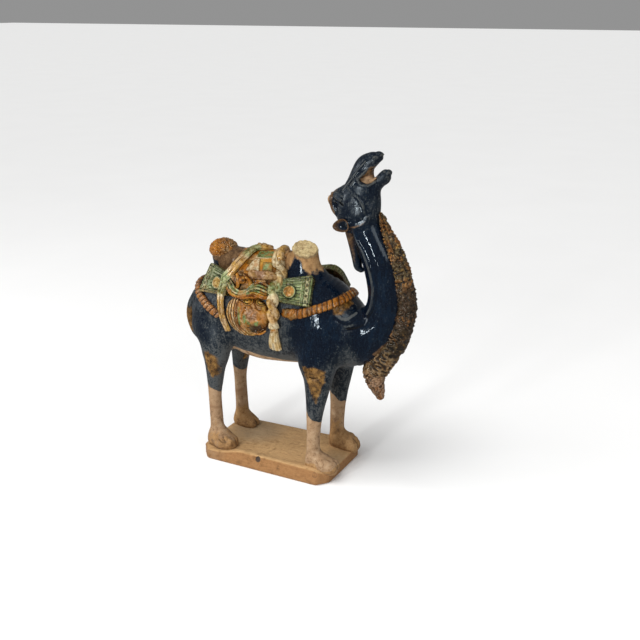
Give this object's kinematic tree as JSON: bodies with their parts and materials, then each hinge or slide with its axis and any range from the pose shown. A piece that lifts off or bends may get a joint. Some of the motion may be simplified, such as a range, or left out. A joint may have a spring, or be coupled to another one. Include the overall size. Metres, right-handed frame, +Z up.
{
  "type": "glazed earthenware camel figure",
  "caption": "Glazed earthenware camel standing on a plinth, head thrown back and mouth open, with a saddle load, pack boards and a beast-faced bag between its humps.",
  "frame": {"origin": "middle of the plinth's flat underside", "axes": "+X along the plinth towards the camel's head, +Y to the camel's left, +Z up"},
  "size_m": [0.4714, 0.17, 0.5995],
  "materials": {
    "glaze": "gloss"
  },
  "bodies": {
    "root": {"camel_figure": "glaze"}
  },
  "joints": []
}
